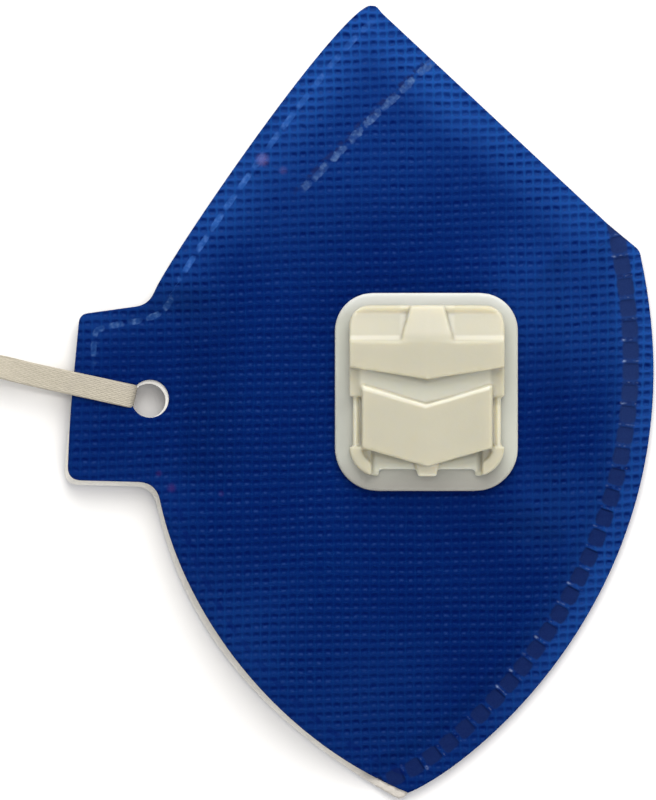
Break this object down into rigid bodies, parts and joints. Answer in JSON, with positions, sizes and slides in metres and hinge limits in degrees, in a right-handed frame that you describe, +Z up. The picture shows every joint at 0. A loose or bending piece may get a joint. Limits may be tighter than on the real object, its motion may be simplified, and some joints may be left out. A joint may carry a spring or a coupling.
{
  "type": "valved respirator mask",
  "caption": "Fold-flat respirator mask lying folded: embossed blue cover, white lining, welded seam, ear tab, louvred exhalation valve and a flat elastic head strap.",
  "frame": {"origin": "on the surface it lies on, under the middle of the folded mask's own box, without the strap", "axes": "+X from the open face side towards the welded seam, +Y from the chin to the nose, +Z up from the surface"},
  "size_m": [0.2881, 0.1764, 0.0233],
  "materials": {
    "blue_cloth": "embossed non-woven, matt",
    "white_cloth": "non-woven, matt",
    "frosted_plastic": "frosted, slightly see-through",
    "flap_rubber": "smooth",
    "cream_plastic": "moulded, satin",
    "strap_elastic": "knitted, matt"
  },
  "bodies": {
    "root": {"outer_cover": "blue_cloth", "inner_lining": "white_cloth", "valve_base": "frosted_plastic", "valve_flap": "flap_rubber", "valve_cover": "cream_plastic", "head_strap": "strap_elastic"}
  },
  "joints": []
}
